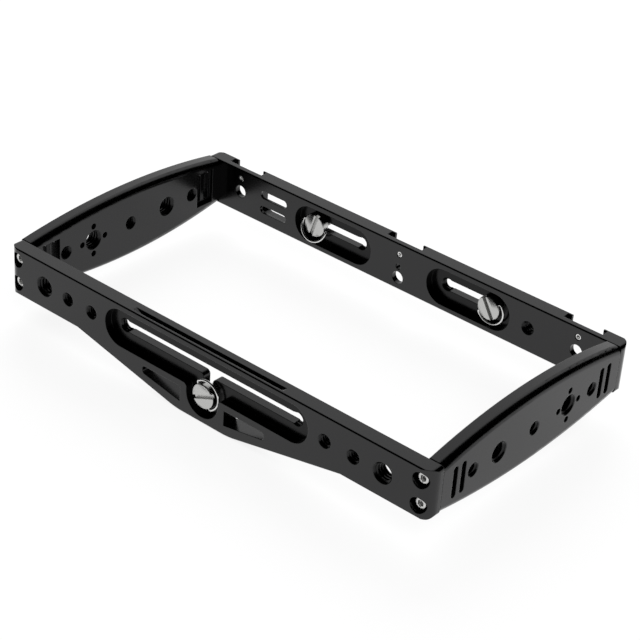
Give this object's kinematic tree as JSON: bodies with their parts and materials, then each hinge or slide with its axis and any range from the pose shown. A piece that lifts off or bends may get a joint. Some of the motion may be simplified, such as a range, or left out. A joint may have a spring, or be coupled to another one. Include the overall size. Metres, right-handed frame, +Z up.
{
  "type": "phone cage",
  "caption": "Rectangular screwed aluminium accessory cage for a handheld screen device, with tapped rails, slots and captive folding thumb screws.",
  "frame": {"origin": "middle of the device opening, at half the long rails' height, on the line of the tapped holes", "axes": "+X along the long rails to the right, +Y from the front rail to the rear rail, +Z up through the opening"},
  "size_m": [0.246, 0.1471, 0.0437],
  "materials": {
    "rails": "satin black anodised",
    "cap_screws": "bright stainless",
    "thumb_screws": "turned stainless",
    "bails": "drawn stainless wire"
  },
  "bodies": {
    "cage": {"front_rail": "rails", "rear_rail": "rails", "left_rail": "rails", "right_rail": "rails", "front_left_upper_screw": "cap_screws", "front_left_lower_screw": "cap_screws", "front_right_upper_screw": "cap_screws", "front_right_lower_screw": "cap_screws", "rear_left_upper_screw": "cap_screws", "rear_left_lower_screw": "cap_screws", "rear_right_upper_screw": "cap_screws", "rear_right_lower_screw": "cap_screws", "left_stop_screw": "cap_screws", "middle_stop_screw": "cap_screws", "right_stop_screw": "cap_screws"},
    "front_screw": {"front_thumb_screw": "thumb_screws"},
    "front_bail": {"front_bail": "bails"},
    "rear_left_screw": {"rear_left_thumb_screw": "thumb_screws"},
    "rear_left_bail": {"rear_left_bail": "bails"},
    "rear_right_screw": {"rear_right_thumb_screw": "thumb_screws"},
    "rear_right_bail": {"rear_right_bail": "bails"}
  },
  "joints": [
    {"name": "front_screw_slide", "type": "slide", "parent": "cage", "child": "front_screw", "axis": [0, 0, 1], "range_m": [-0.0011, 0.0118]},
    {"name": "front_bail_flip", "type": "hinge", "parent": "front_screw", "child": "front_bail", "pos_m": [0, -0.0688, -0.0118], "axis": [0.5592, 0, -0.829], "range_deg": [-6, 184]},
    {"name": "rear_left_screw_slide", "type": "slide", "parent": "cage", "child": "rear_left_screw", "axis": [1, 0, 0], "range_m": [-0.0023, 0.0269]},
    {"name": "rear_left_bail_flip", "type": "hinge", "parent": "rear_left_screw", "child": "rear_left_bail", "pos_m": [-0.053, 0.0639, 0], "axis": [-0.9703, 0, 0.2419], "range_deg": [-26, 164]},
    {"name": "rear_right_screw_slide", "type": "slide", "parent": "cage", "child": "rear_right_screw", "axis": [1, 0, 0], "range_m": [-0.0259, 0.0033]},
    {"name": "rear_right_bail_flip", "type": "hinge", "parent": "rear_right_screw", "child": "rear_right_bail", "pos_m": [0.052, 0.0639, 0], "axis": [-0.829, 0, -0.5592], "range_deg": [-6, 184]}
  ]
}
